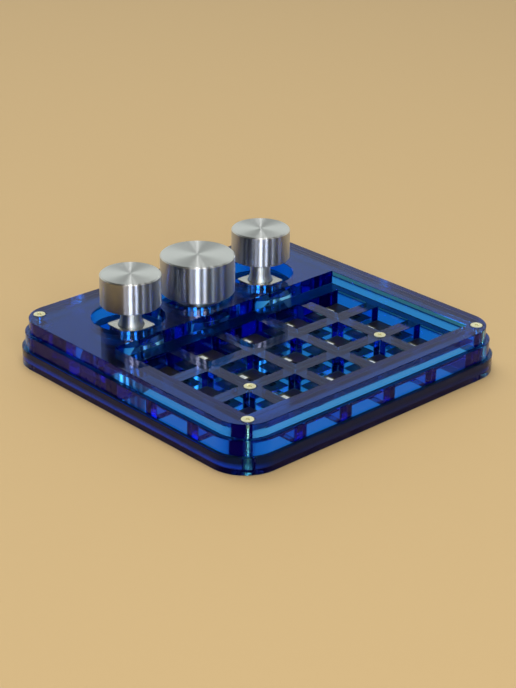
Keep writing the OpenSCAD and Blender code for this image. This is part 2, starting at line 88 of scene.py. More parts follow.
lens = bpy.data.cameras.new("camera")
lens.sensor_fit = "HORIZONTAL"
lens.sensor_width = 36
lens.lens = lens.sensor_width * FOCAL_PIXELS / FRAME_WIDTH
camera = add_object("camera", lens)
level = math.cos(DROP)
ahead = Vector((math.sin(HEADING) * level, math.cos(HEADING) * level, -math.sin(DROP)))
turned = ahead.to_track_quat("-Z", "Y").to_matrix().to_4x4()
camera.matrix_world = Matrix.Translation(EYE) @ turned @ Matrix.Rotation(LEAN, 4, "Z")
scene.camera = camera
scene.view_settings.view_transform = "Standard"
scene.cycles.max_bounces = 20
scene.cycles.transmission_bounces = 20
scene.cycles.glossy_bounces = 8
scene.cycles.diffuse_bounces = 4
print("camera: lens of", round(lens.lens, 1), "mm")


# %% [markdown]
# ## Building blocks
# Nearly everything here is cut from sheet, turned on a lathe or moulded as a small block. So
# three short helpers do most of the modelling: `slab` raises loops of edges to a sheet with a
# chamfer along every rim, `turn` spins an outline round an axis, and `block` bevels a cuboid.

# %% Loops and slabs
def shift(bm, way):
    bmesh.ops.translate(bm, vec=Vector(way).to_3d(), verts=bm.verts)


def rotate(bm, degrees, axis):
    bmesh.ops.rotate(bm, cent=(0, 0, 0), matrix=Matrix.Rotation(math.radians(degrees), 3, axis), verts=bm.verts)


def add_mesh(bm, part):
    """Adds what one bmesh holds to another."""
    mesh = bpy.data.meshes.new("part")
    part.to_mesh(mesh)
    part.free()
    bm.from_mesh(mesh)
    bpy.data.meshes.remove(mesh)


def rectangle_loop(bm, width, depth, radius, z, centre=(0, 0), steps=12):
    """Loop of edges: a rectangle with round corners."""
    part = bmesh.new()
    place = Matrix.Translation((*centre, z)) @ Matrix.Diagonal((width, depth, 1, 1))
    corners = bmesh.ops.create_grid(part, x_segments=1, y_segments=1, size=0.5, matrix=place)["verts"]
    bmesh.ops.bevel(part, geom=corners, offset=radius, segments=steps, profile=0.5,
                    affect="VERTICES", material=-1)
    bmesh.ops.delete(part, geom=part.faces[:], context="FACES_ONLY")
    add_mesh(bm, part)


def circle_loop(bm, radius, z, centre=(0, 0), steps=32):
    """Loop of edges: a circle."""
    place = Matrix.Translation((*centre, z))
    bmesh.ops.create_circle(bm, cap_ends=False, segments=steps, radius=radius, matrix=place)


def slab(bm, height, edge):
    """Fills the loops, raises them to a sheet and chamfers every rim."""
    bottom = min(v.co.z for v in bm.verts)
    filled = bmesh.ops.triangle_fill(bm, use_beauty=True, edges=bm.edges[:], normal=(0, 0, 1))
    faces = [g for g in filled["geom"] if isinstance(g, bmesh.types.BMFace)]
    raised = bmesh.ops.extrude_face_region(bm, geom=faces)
    top = [g for g in raised["geom"] if isinstance(g, bmesh.types.BMVert)]
    bmesh.ops.translate(bm, vec=(0, 0, height - 2 * edge), verts=top)
    bmesh.ops.recalc_face_normals(bm, faces=bm.faces)
    if edge:
        for side in (-1, 1):
            cap = [f for f in bm.faces if f.normal.z * side > 0.99]
            bmesh.ops.inset_region(bm, faces=cap, thickness=edge, depth=edge,
                                   use_boundary=True, use_even_offset=True)
    low = min(v.co.z for v in bm.verts)
    shift(bm, (0, 0, bottom - low))


# %% Lathe, blocks and copies
def turn(bm, outline, centre=(0, 0), steps=48, closed=False):
    """Spins an outline of (radius, height) points round an upright axis."""
    points = [bm.verts.new((r, 0, z)) for r, z in outline]
    pairs = list(zip(points, points[1:])) + ([(points[-1], points[0])] if closed else [])
    edges = [bm.edges.new(pair) for pair in pairs]
    spun = bmesh.ops.spin(bm, geom=points + edges, cent=(0, 0, 0), axis=(0, 0, 1),
                          angle=2 * math.pi, steps=steps, use_merge=True)
    verts = {v for v in points if v.is_valid}
    verts.update(g for g in spun["geom_last"] if isinstance(g, bmesh.types.BMVert))
    reached = set()
    while verts:
        v = verts.pop()
        reached.add(v)
        verts.update(e.other_vert(v) for e in v.link_edges if e.other_vert(v) not in reached)
    bmesh.ops.remove_doubles(bm, verts=list(reached), dist=1e-4)
    kept = [v for v in reached if v.is_valid]
    bmesh.ops.translate(bm, vec=(*centre, 0), verts=kept)


def block(bm, one, other, edge=0.0, segments=1):
    """Cuboid between two opposite corners, with bevelled edges."""
    low, high = Vector(map(min, one, other)), Vector(map(max, one, other))
    place = Matrix.Translation((low + high) / 2) @ Matrix.Diagonal((*(high - low), 1))
    verts = bmesh.ops.create_cube(bm, size=1, matrix=place)["verts"]
    edges = list({e for v in verts for e in v.link_edges})
    if edge:
        bmesh.ops.bevel(bm, geom=edges, offset=edge, segments=segments, profile=0.5,
                        affect="EDGES", material=-1)
    return verts


def painted(bm, finish, build, *shape, **settings):
    """Builds a shape whose faces get another finish than the first."""
    known = len(bm.faces)
    build(bm, *shape, **settings)
    bm.faces.ensure_lookup_table()
    for face in bm.faces[known:]:
        face.material_index = finish


def copies(part, places):
    """One bmesh with the part at every place."""
    bm = bmesh.new()
    mesh = bpy.data.meshes.new("part")
    part.to_mesh(mesh)
    part.free()
    for place in places:
        known = len(bm.verts)
        bm.from_mesh(mesh)
        bm.verts.ensure_lookup_table()
        bmesh.ops.translate(bm, vec=Vector(place).to_3d(), verts=bm.verts[known:])
    bpy.data.meshes.remove(mesh)
    return bm


# %% [markdown]
# A finished piece is closed, has its faces pointing outwards, rides on a body and hides the node
# that it stands for. Flat faces must stay truly flat in clear plastic, or the rims' shading bends
# the light. Weighted normals do that: large faces decide the normals of the corners they share.

# %% From a bmesh to a finished piece
SHARP = math.radians(28)


def mesh_of(bm, scale=MM):
    """Mesh with its faces pointing outwards, in metres unless it is still to be cut."""
    bmesh.ops.recalc_face_normals(bm, faces=bm.faces)
    bmesh.ops.scale(bm, vec=(scale, scale, scale), verts=bm.verts)
    mesh = bpy.data.meshes.new("part")
    bm.to_mesh(mesh)
    bm.free()
    return mesh


def add_piece(bm, name, finishes, body, slot, *nodes, weighted=False):
    """Makes the piece, and hides the nodes that it stands for."""
    mesh = bm if isinstance(bm, bpy.types.Mesh) else mesh_of(bm)
    mesh.name = name
    for finish in finishes if isinstance(finishes, (list, tuple)) else [finishes]:
        mesh.materials.append(finish)
    mesh.polygons.foreach_set("use_smooth", [True] * len(mesh.polygons))
    mesh.set_sharp_from_angle(angle=SHARP)
    piece = add_object(name, mesh)
    if weighted:
        normals = piece.modifiers.new("flat_faces", "WEIGHTED_NORMAL")
        normals.keep_sharp = True
        normals.weight = 100
    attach(piece, body)
    if nodes:
        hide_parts(*nodes)
    return piece


def carve(blank, *cutters):
    """Blank less the cutters, all of them bmeshes."""
    target, *tools = [add_object("loose", mesh_of(bm, 1)) for bm in (blank, *cutters)]
    for tool in tools:
        cut = target.modifiers.new("cut", "BOOLEAN")
        cut.operation = "DIFFERENCE"
        cut.solver = "EXACT"
        cut.object = tool
    ready = target.evaluated_get(bpy.context.evaluated_depsgraph_get())
    mesh = bpy.data.meshes.new_from_object(ready)
    bm = bmesh.new()
    bm.from_mesh(mesh)
    bpy.data.meshes.remove(mesh)
    for made in [target] + tools:
        bpy.data.meshes.remove(made.data)
    return bm


# %% [markdown]
# ## Finishes
# Two shared groups give every surface its fine life. `marks` scatters hairline scratches and faint
# smudges that only change the roughness, and `grain` gives a height for moulded or etched skins.

# %% Nodes and their links
def wire(tree, node, sockets):
    """Gives each socket its number, or links another node's output to it."""
    for label, value in sockets.items():
        if isinstance(value, bpy.types.NodeSocket):
            tree.links.new(value, node.inputs[label])
        else:
            node.inputs[label].default_value = value


def add_node(tree, kind, sockets=(), **settings):
    node = tree.nodes.new(kind)
    for key, value in settings.items():
        setattr(node, key, value)
    wire(tree, node, dict(sockets))
    return node


def math_node(tree, operation, first, second):
    return add_node(tree, "ShaderNodeMath", {0: first, 1: second}, operation=operation).outputs[0]


def own_place(tree):
    return tree.nodes.new("ShaderNodeTexCoord").outputs["Object"]


def add_noise(tree, where, scale, detail, roughness=0.5, dimensions="3D"):
    sockets = {"Vector": where, "Scale": scale, "Detail": detail, "Roughness": roughness}
    return add_node(tree, "ShaderNodeTexNoise", sockets, noise_dimensions=dimensions).outputs["Fac"]


def add_stripes(tree, where, scale, detail, rotation=(0, 0, 0), dimensions="3D"):
    """Noise that is drawn out into stripes along the axis with the smallest scale."""
    lay = add_node(tree, "ShaderNodeMapping", {"Vector": where, "Rotation": rotation, "Scale": scale})
    return add_noise(tree, lay.outputs[0], 1.0, detail, dimensions=dimensions)


# %% Shared shader groups
def new_group(name, output, **inputs):
    group = bpy.data.node_groups.new(name, "ShaderNodeTree")
    for label, value in inputs.items():
        socket = group.interface.new_socket(name=label, in_out="INPUT", socket_type="NodeSocketFloat")
        socket.default_value = value
    group.interface.new_socket(name=output, in_out="OUTPUT", socket_type="NodeSocketFloat")
    return group, group.nodes.new("NodeGroupInput").outputs, group.nodes.new("NodeGroupOutput")


def make_marks_group():
    """Roughness from a base value, smudges and hairline scratches."""
    group, given, out = new_group("marks", "Roughness", Base=0.1, Smudge=0.05, Scratch=0.1, Size=60.0)
    where = own_place(group)
    lines = []
    for angle, stretch in ((0.5, 90.0), (-0.9, 70.0)):
        hair = add_stripes(group, where, (stretch, stretch * 26, stretch * 8), 1.0, (0, 0, angle))
        line = add_node(group, "ShaderNodeMapRange", {"Value": hair, "From Min": 0.66, "From Max": 0.72})
        lines.append(line.outputs[0])
    dull = math_node(group, "MULTIPLY", add_noise(group, where, given["Size"], 4.0, 0.6), given["Smudge"])
    cut = math_node(group, "MULTIPLY", math_node(group, "MAXIMUM", *lines), given["Scratch"])
    both = math_node(group, "ADD", dull, cut)
    wire(group, out, {"Roughness": math_node(group, "ADD", given["Base"], both)})
    return group


def make_grain_group():
    """Height of a fine skin, for a Bump node."""
    group, given, out = new_group("grain", "Height", Size=900.0)
    wire(group, out, {"Height": add_noise(group, own_place(group), given["Size"], 3.0, 0.55)})
    return group


MARKS = make_marks_group()
GRAIN = make_grain_group()


# %% What a finish is made of
def new_finish(name, color, metallic=0.0):
    material = bpy.data.materials.new(name)
    material.use_nodes = True
    tree = material.node_tree
    shader = tree.nodes["Principled BSDF"]
    wire(tree, shader, {"Base Color": (*color, 1), "Metallic": metallic})
    return material, tree, shader


def marks(tree, base, smudge, scratch, size):
    sockets = {"Base": base, "Smudge": smudge, "Scratch": scratch, "Size": size}
    return add_node(tree, "ShaderNodeGroup", sockets, node_tree=MARKS).outputs["Roughness"]


def bump(tree, height, depth):
    sockets = {"Strength": 1.0, "Distance": depth * MM, "Height": height}
    return add_node(tree, "ShaderNodeBump", sockets).outputs["Normal"]


def grain(tree, size, depth):
    group = add_node(tree, "ShaderNodeGroup", {"Size": size}, node_tree=GRAIN)
    return bump(tree, group.outputs["Height"], depth)


def varied_color(tree, dark, light, size):
    """Colour that drifts between two values."""
    ramp = add_node(tree, "ShaderNodeValToRGB", {"Fac": add_noise(tree, own_place(tree), size, 5.0)})
    for stop, position, color in zip(ramp.color_ramp.elements, (0.3, 0.7), (dark, light)):
        stop.position, stop.color = position, (*color, 1)
    return ramp.outputs["Color"]


# %% [markdown]
# The blue of the sheets is a dye in clear plastic, so the colour must come from the depth that
# light travels, not from the surface: a colourless glass shader with an absorbing volume. Thin
# stretches then look sky blue, and the long way through a sheet looks navy. The mesh marks three
# kinds of face: sawn edges get fine stripes, milled faces are frosted, and the outer edges give
# off a painted violet glow, a faint emission.

# %% Clear blue acrylic
def face_value(tree, name):
    """A number that the mesh keeps for each of its faces."""
    return add_node(tree, "ShaderNodeAttribute", attribute_name=name).outputs["Fac"]


ACRYLIC_IOR = 1.49
DYE_COLOR, DYE_DENSITY = (0.015, 0.638, 0.942, 1), 345
REFLECTION_TINT = (0.02, 0.0, 1.0, 1)
# Painted glow: a faint violet emission on the outer edges of the sheets.
PAINTED_EDGE_GLOW = (0.0005, 0.0, 0.018)
MILLED_FROST, SAWN_SHARE, SHEET_WAVES = 0.42, 0.12, 0.012


def make_acrylic():
    material, tree, shader = new_finish("clear_blue_acrylic", (1, 1, 1))
    where = own_place(tree)
    frost = math_node(tree, "MULTIPLY", face_value(tree, "milled"), MILLED_FROST)
    sawn = math_node(tree, "MULTIPLY", add_stripes(tree, where, (2600, 2600, 40), 2.0), face_value(tree, "edge"))
    sawn = math_node(tree, "MULTIPLY", sawn, SAWN_SHARE)
    waves = math_node(tree, "ADD", sawn, add_noise(tree, where, 70.0, 1.0))
    # The outer edges give off the painted violet glow.
    painted_glow = {0: PAINTED_EDGE_GLOW, "Scale": face_value(tree, "painted_glow")}
    wire(tree, shader, {
        "IOR": ACRYLIC_IOR, "Transmission Weight": 1, "Specular Tint": REFLECTION_TINT,
        "Roughness": math_node(tree, "ADD", marks(tree, 0.0, 0.0, 0.015, 60.0), frost),
        "Normal": bump(tree, waves, SHEET_WAVES), "Emission Strength": 1.0,
        "Emission Color": add_node(tree, "ShaderNodeVectorMath", painted_glow, operation="SCALE").outputs[0]})
    dye = add_node(tree, "ShaderNodeVolumeAbsorption", {"Color": DYE_COLOR, "Density": DYE_DENSITY})
    wire(tree, tree.nodes["Material Output"], {"Volume": dye.outputs["Volume"]})
    return material


# %% Cut wall of the tray's pocket
# Position up the wall and colour: a painted blue glow near the floor, and painted black shade above it.
CUT_WALL_PAINTED_LIGHT_AND_SHADE = ((0.0, (0.04, 0.03, 0.30, 1)), (0.13, (0.01, 0.11, 0.85, 1)), (0.27, (0.01, 0.05, 0.4, 1)),
                   (0.42, (0.006, 0.004, 0.006, 1)), (1.0, (0.004, 0.002, 0.002, 1)))
CUT_WALL_SPAN, CUT_WALL_SWAY = (1.2, 5.6), 0.6


def make_painted_cut_wall():
    """Wall of the tray's pocket: opaque and rough, with a painted blue glow and painted black shade."""
    material, tree, shader = new_finish("cut_wall_painted_glow_and_shade", (0.01, 0.1, 0.6))
    where = own_place(tree)
    height = add_node(tree, "ShaderNodeSeparateXYZ", {0: where}).outputs["Z"]
    streaks = add_stripes(tree, where, (900, 900, 160), 3.0)
    sway = math_node(tree, "MULTIPLY", math_node(tree, "SUBTRACT", streaks, 0.5), CUT_WALL_SWAY * MM)
    level = add_node(tree, "ShaderNodeMapRange", {
        "Value": math_node(tree, "ADD", height, sway),
        "From Min": CUT_WALL_SPAN[0] * MM, "From Max": CUT_WALL_SPAN[1] * MM})
    ramp = add_node(tree, "ShaderNodeValToRGB", {"Fac": level.outputs[0]})
    stops = ramp.color_ramp.elements
    for stop, (position, color) in zip(stops, (CUT_WALL_PAINTED_LIGHT_AND_SHADE[0], CUT_WALL_PAINTED_LIGHT_AND_SHADE[-1])):
        stop.position, stop.color = position, color
    for position, color in CUT_WALL_PAINTED_LIGHT_AND_SHADE[1:-1]:
        stops.new(position).color = color
    # Walls that face sideways get the full painted glow and shade, and the front and back walls a small share.
    painted_wall_light = {0: ramp.outputs["Color"], "Scale": face_value(tree, "painted_side_light")}
    painted_wall_light = add_node(tree, "ShaderNodeVectorMath", painted_wall_light, operation="SCALE")
    wire(tree, shader, {"Roughness": 0.7, "Base Color": painted_wall_light.outputs[0]})
    return material


ACRYLIC = make_acrylic()
PAINTED_CUT_WALL = make_painted_cut_wall()


# %% Metals
def make_metal(name, dark, light, base, smudge, scratch, depth=0.0, metallic=1.0):
    material, tree, shader = new_finish(name, light, metallic)
    wire(tree, shader, {
        "Base Color": varied_color(tree, dark, light, 90), "Roughness": marks(tree, base, smudge, scratch, 120)})
    if depth:
        wire(tree, shader, {"Normal": grain(tree, 1500, depth)})
    return material


def make_turned(name, color, base, spread, depth):
    """Turned metal: the lathe's rings run along U of the piece's own map."""
    material, tree, shader = new_finish(name, color, 1.0)
    along = add_node(tree, "ShaderNodeTangent", direction_type="UV_MAP", uv_map="turned")
    rings = add_node(tree, "ShaderNodeUVMap", uv_map="turned")
    ripple = add_stripes(tree, rings.outputs[0], (0.0, 9000.0, 0.0), 2.0, dimensions="2D")
    wire(tree, shader, {
        "Roughness": marks(tree, base, 0.05, 0.05, 90), "Normal": bump(tree, ripple, depth),
        "Anisotropic": spread, "Anisotropic Rotation": 0.25, "Tangent": along.outputs[0]})
    return material


SPUN_FACE = make_turned("spun_aluminium_face", (0.86, 0.87, 0.85), 0.33, 1.0, 0.0008)
# The knobs' sides get a darker, bluish copy of the top's aluminium: painted shade.
TURNED_SIDE_PAINTED_SHADE = make_turned("turned_aluminium_side_painted_shade", (0.50, 0.525, 0.57), 0.29, 1.0, 0.0002)
NECK_ALLOY = make_turned("turned_alloy_neck", (0.62, 0.63, 0.60), 0.42, 0.8, 0.0008)
NICKEL = make_metal("nickel_sheet", (0.72, 0.70, 0.64), (0.84, 0.82, 0.76), 0.22, 0.1, 0.1)
CAST = make_metal("cast_alloy", (0.55, 0.55, 0.54), (0.70, 0.70, 0.69), 0.25, 0.12, 0.1, 0.004)
TIN = make_metal("bright_tin", (0.66, 0.66, 0.66), (0.80, 0.80, 0.80), 0.24, 0.1, 0.05)
BRASS = make_metal("pale_brass", (0.76, 0.70, 0.46), (0.92, 0.86, 0.62), 0.18, 0.12, 0.12)
# Screw heads get a lighter, less metallic copy of the brass: painted light.
SCREW_FACE_PAINTED_LIGHT = make_metal("pale_brass_face_painted_light", (0.80, 0.75, 0.45), (0.95, 0.92, 0.62), 0.22, 0.12, 0.12, metallic=0.7)
GOLD = make_metal("gold_contact", (0.85, 0.62, 0.26), (0.95, 0.74, 0.36), 0.2, 0.1, 0.05)
BLACK_STEEL = make_metal("blackened_steel", (0.03, 0.03, 0.03), (0.07, 0.07, 0.07), 0.35, 0.1, 0.05)


# %% Plastics, ceramics and the board
def make_plastic(name, dark, light, base, grain_size, grain_depth, coat=0.0):
    material, tree, shader = new_finish(name, light)
    wire(tree, shader, {
        "Base Color": varied_color(tree, dark, light, 140), "Roughness": marks(tree, base, 0.12, 0.08, 150),
        "Normal": grain(tree, grain_size, grain_depth), "Coat Weight": coat})
    return material


BOARD_FACE = make_plastic("black_solder_mask", (0.008, 0.007, 0.006), (0.016, 0.013, 0.011), 0.28, 700, 0.004, 0.3)
OLIVE_FRAME_FINISH = make_plastic("olive_frame_sheet", (0.07, 0.075, 0.04), (0.13, 0.13, 0.075), 0.55, 1400, 0.01)
NYLON = make_plastic("black_nylon", (0.012, 0.012, 0.013), (0.022, 0.022, 0.024), 0.42, 1800, 0.006)
CHIP = make_plastic("moulded_chip", (0.018, 0.018, 0.019), (0.032, 0.032, 0.034), 0.5, 2600, 0.006)
ACETAL = make_plastic("natural_acetal", (0.70, 0.67, 0.60), (0.80, 0.78, 0.72), 0.35, 1500, 0.004)
LED_WHITE = make_plastic("light_package", (0.72, 0.74, 0.68), (0.86, 0.87, 0.82), 0.35, 1500, 0.003)
RESIN = make_plastic("cloudy_resin", (0.62, 0.64, 0.50), (0.78, 0.79, 0.66), 0.12, 900, 0.001, 0.5)
CERAMIC = make_plastic("fired_ceramic", (0.36, 0.27, 0.18), (0.48, 0.37, 0.26), 0.5, 2200, 0.006)
print("finishes:", len(bpy.data.materials))

# %% [markdown]
# ## The three sheets
# Real sheets like these are cut on a laser or a router, so each is a flat outline with holes,
# raised to its thickness. The step from sheet to sheet keeps the round corners concentric.

# %% Places on the keypad
deck_low, deck_high = span("top_frame")
plate_low, plate_high = span("switch_plate")
case_low, case_high = span("bottom_case")
board_low, board_high = span("circuit_board")
PITCH = 19.05
COLUMNS, ROWS = 5, 3
FRONT_BAR, FRONT_GAP, BACK_GAP, SIDE_GAP = 7.0, 0.8, 3.2, 0.25
DECK_CORNER, PLATE_STEP, CASE_STEP = 10.2, 1.35, 1.15
WINDOW_CORNER, RIM = 0.6, 0.12
window_front = deck_low.y + FRONT_BAR
window_back = window_front + ROWS * PITCH + FRONT_GAP + BACK_GAP
window_width = COLUMNS * PITCH + 2 * SIDE_GAP
KEYS = [((c - (COLUMNS - 1) / 2) * PITCH, window_front + FRONT_GAP + (r + 0.5) * PITCH, 0)
        for r in range(ROWS) for c in range(COLUMNS)]
SIDES = ("left", "centre", "right")


def middle(node):
    low, high = span(node)
    return (low + high) / 2


KNOBS = {side: middle(side + "_knob").to_2d() for side in SIDES}
SCREW_X, SCREW_Y = 49.975, 49.875
CORNERS = [(x * SCREW_X, y * SCREW_Y) for x in (-1, 1) for y in (-1, 1)]
PLATE_SCREWS = [(x * 1.5 * PITCH, KEYS[0][1] + PITCH / 2) for x in (-1, 1)]
SCREW_HOLE, HEAD_SINK, DRILL_SLOPE = 1.2, 0.7, 1.7
KNOB_HOLE, HOLE_SHIFT = 12.1, Vector((1.1, 0))
print("keys:", len(KEYS), "first at", [round(c, 2) for c in KEYS[0]])


# %% Face values for the sheets
def outline_distance(point, size, radius):
    """Distance from a rectangle with round corners to a point outside it. It is negative inside."""
    x = abs(point.x) - size.x / 2 + radius
    y = abs(point.y) - size.y / 2 + radius
    return math.hypot(max(x, 0), max(y, 0)) + min(max(x, y), 0) - radius


def set_face_value(mesh, name, test):
    """Stores what the test gives for each face's centre and normal: a share, or true as 1."""
    values = mesh.attributes.new(name, "FLOAT", "FACE")
    faces = [float(test(f.center / MM, f.normal)) for f in mesh.polygons]
    values.data.foreach_set("value", faces)


def near_any(point, places, reach):
    return any(math.hypot(point.x - p[0], point.y - p[1]) < reach for p in places)


OUTER_REACH = 0.3


def set_edges(mesh, size, radius, painted_glow=1.0):
    """Marks the upright faces, and gives a painted glow, a faint emission, to the outer ones among them."""
    def is_outer(c, n):
        return abs(n.z) < 0.5 and outline_distance(c, size, radius) > -OUTER_REACH

    set_face_value(mesh, "edge", lambda c, n: abs(n.z) < 0.5)
    set_face_value(mesh, "painted_glow", lambda c, n: painted_glow * is_outer(c, n))


def countersinks(top, places):
    """Cones that cut the seats of screw heads into the upper face of a sheet."""
    cones = bmesh.new()
    foot, over = 0.1, 0.5
    outline = [(0, -HEAD_SINK - foot), (SCREW_HOLE - foot * DRILL_SLOPE, -HEAD_SINK - foot),
               (SCREW_HOLE + (HEAD_SINK + over) * DRILL_SLOPE, over), (0, over)]
    for place in places:
        turn(cones, [(r, top + z) for r, z in outline], place)
    return cones


# %% Top frame
def make_top_frame():
    bm = bmesh.new()
    z = deck_low.z
    size = deck_high - deck_low
    rectangle_loop(bm, size.x, size.y, DECK_CORNER, z, steps=32)
    rectangle_loop(bm, window_width, window_back - window_front, WINDOW_CORNER, z,
                   (0, (window_back + window_front) / 2), steps=6)
    for centre in KNOBS.values():
        circle_loop(bm, KNOB_HOLE, z, centre - HOLE_SHIFT, 128)
    for corner in CORNERS:
        circle_loop(bm, SCREW_HOLE, z, corner)
    slab(bm, size.z, RIM)
    mesh = mesh_of(carve(bm, countersinks(deck_high.z, CORNERS)))
    set_edges(mesh, size, DECK_CORNER)
    set_face_value(mesh, "milled", lambda c, n: 0)
    return add_piece(mesh, "clear_top_frame", ACRYLIC, "case", "blue_acrylic", "top_frame", weighted=True)


# %% Switch plate
CUTOUT, CUTOUT_CORNER = 14.0, 0.3
ENCODER_OPENING = (13.6, 16.4)
NOTCH_SIDE = 0.4


def make_switch_plate():
    bm = bmesh.new()
    z = plate_low.z
    size = plate_high - plate_low
    rectangle_loop(bm, size.x, size.y, DECK_CORNER + PLATE_STEP, z, steps=32)
    for key in KEYS:
        rectangle_loop(bm, CUTOUT, CUTOUT, CUTOUT_CORNER, z, key[:2], steps=4)
    for centre in KNOBS.values():
        rectangle_loop(bm, *ENCODER_OPENING, CUTOUT_CORNER, z, centre, steps=4)
    for place in CORNERS + PLATE_SCREWS:
        circle_loop(bm, SCREW_HOLE, z, place)
    slab(bm, size.z, RIM)
    usb_low, usb_high = span("usb_shell")
    notch = bmesh.new()
    block(notch, (usb_low.x - NOTCH_SIDE, usb_low.y - NOTCH_SIDE, z - 1),
          (usb_high.x + NOTCH_SIDE, usb_high.y + 5, plate_high.z + 1))
    mesh = mesh_of(carve(bm, notch, countersinks(plate_high.z, PLATE_SCREWS)))
    drilled = CORNERS + PLATE_SCREWS
    set_edges(mesh, size, DECK_CORNER + PLATE_STEP)
    set_face_value(mesh, "milled", lambda c, n: abs(n.z) < 0.9 and near_any(c, drilled, SCREW_HOLE + 0.2))
    return add_piece(mesh, "clear_switch_plate", ACRYLIC, "case", "blue_acrylic", "switch_plate", weighted=True)


# %% Bottom case
CASE_FLOOR, CASE_WALL, BOSS, POST = 1.2, 2.0, 4.0, 2.0
INSERT_HOLE = 1.62
# Shares of painted light on the tray: its edge glow, and the pocket's painted glow on the front and back walls.
TRAY_PAINTED_GLOW, FRONT_WALL_PAINTED_LIGHT = 0.4, 0.08


def make_bottom_case():
    size = case_high - case_low
    corner = DECK_CORNER + PLATE_STEP + CASE_STEP
    blank = bmesh.new()
    rectangle_loop(blank, size.x, size.y, corner, 0, steps=32)
    slab(blank, size.z, RIM)
    pocket = bmesh.new()
    rectangle_loop(pocket, size.x - 2 * CASE_WALL, size.y - 2 * CASE_WALL, corner - CASE_WALL, CASE_FLOOR, steps=32)
    slab(pocket, size.z, 0)
    bosses = bmesh.new()
    for place in CORNERS:
        turn(bosses, [(0, -1), (BOSS, -1), (BOSS, 20), (0, 20)], place)
    posts = [(x * PITCH / 2, PLATE_SCREWS[0][1]) for x in (-1, 1)]
    posts += [(KNOBS["centre"] + KNOBS[side]) / 2 for side in ("left", "right")]
    for place in posts:
        turn(bosses, [(0, -1), (POST, -1), (POST, board_low.z), (0, board_low.z)], place)
    holes = bmesh.new()
    foot = span("corner_inserts")[0].z
    for place in CORNERS:
        turn(holes, [(0, foot), (INSERT_HOLE, foot), (INSERT_HOLE, 9), (0, 9)], place)
    mesh = mesh_of(carve(blank, carve(pocket, bosses), holes))

    def is_outside(c, n):
        rim = c.z > size.z - 0.01 and n.z > 0.5
        return outline_distance(c, size, corner) > -OUTER_REACH or c.z < OUTER_REACH or rim

    # The tray's outer edges get a weaker painted glow.
    set_edges(mesh, size, corner, TRAY_PAINTED_GLOW)
    set_face_value(mesh, "milled", lambda c, n: not is_outside(c, n))
    set_face_value(mesh, "painted_side_light", lambda c, n: FRONT_WALL_PAINTED_LIGHT + (1 - FRONT_WALL_PAINTED_LIGHT) * abs(n.x))
    # The pocket's upright walls take the opaque finish with painted glow and shade.
    for face in mesh.polygons:
        c = face.center / MM
        upright = abs(face.normal.z) < 0.5 and c.z > CASE_FLOOR
        face.material_index = int(upright and abs(outline_distance(c, size, corner) + CASE_WALL) < 0.1)
    return add_piece(mesh, "clear_bottom_case", [ACRYLIC, PAINTED_CUT_WALL], "case", "blue_acrylic", "bottom_case",
                     weighted=True)


for sheet in (make_top_frame(), make_switch_plate(), make_bottom_case()):
    print(sheet.name, len(sheet.data.polygons), "faces")

# %% [markdown]
# ## Screws, inserts and nuts
# Six pale brass screws with countersunk cross-slot heads hold the stack. Their cones rest in
# countersinks, and the rims of the heads stand a little proud. Each screw is one outline on the
# lathe, with a V for every turn of the thread, and the cross is cut out of the head. The tray's
# inserts are knurled rings, so every second column of their outer edges is pressed in.

# %% Screws
SCREW, HEAD, HEAD_RIM = 1.0, 1.95, 0.2
SLOT_REACH, SLOT_WIDTH, SLOT_DEPTH = 1.2, 0.26, 0.7
THREAD_PITCH = 0.4


def screw_outline(tip, head):
    neck = head - HEAD_RIM - (HEAD - SCREW)
    points = [(0, tip), (SCREW - 0.25, tip), (SCREW - 0.1, tip + 0.15)]
    for turns in range(int((neck - tip - 1.0) / THREAD_PITCH)):
        z = tip + 0.3 + turns * THREAD_PITCH
        points += [(SCREW - 0.14, z), (SCREW, z + THREAD_PITCH / 2)]
    points += [(SCREW - 0.12, neck - 0.4), (SCREW - 0.12, neck - 0.15), (SCREW, neck)]
    points += [(HEAD, head - HEAD_RIM), (HEAD, head - 0.06), (HEAD - 0.06, head)]
    return points + [(HEAD - 0.5, head), (0, head)]


def make_screws(name, node, places):
    low, high = span(node)
    shape = bmesh.new()
    turn(shape, screw_outline(low.z, high.z), steps=40)
    cuts = []
    for long_x, long_y in ((SLOT_REACH, SLOT_WIDTH), (SLOT_WIDTH, SLOT_REACH)):
        cut = bmesh.new()
        verts = block(cut, (-long_x, -long_y, high.z - SLOT_DEPTH), (long_x, long_y, high.z + 0.5))
        foot = [v for v in verts if v.co.z < high.z]
        bmesh.ops.scale(cut, vec=(0.6, 0.6, 1), verts=foot)
        cuts.append(cut)
    shape = carve(shape, *cuts)
    # The top, rim and cross slot of each head take the lighter copy with painted light, and the cone and shank keep
    # full metal.
    for face in shape.faces:
        c = face.calc_center_median()
        slot = c.z > high.z - SLOT_DEPTH - 0.05 and c.xy.length < SLOT_REACH + 0.1
        face.material_index = int(slot or c.z > high.z - HEAD_RIM - 0.01)
    return add_piece(copies(shape, places), name, [BRASS, SCREW_FACE_PAINTED_LIGHT], "case", "brass_plated", node)


make_screws("corner_cross_screws", "corner_screws", CORNERS)
make_screws("plate_cross_screws", "plate_screws", PLATE_SCREWS)
print("screws:", len(CORNERS + PLATE_SCREWS))


# %% Inserts and nuts
THREADED_BORE, KNURLS = 1.02, 48


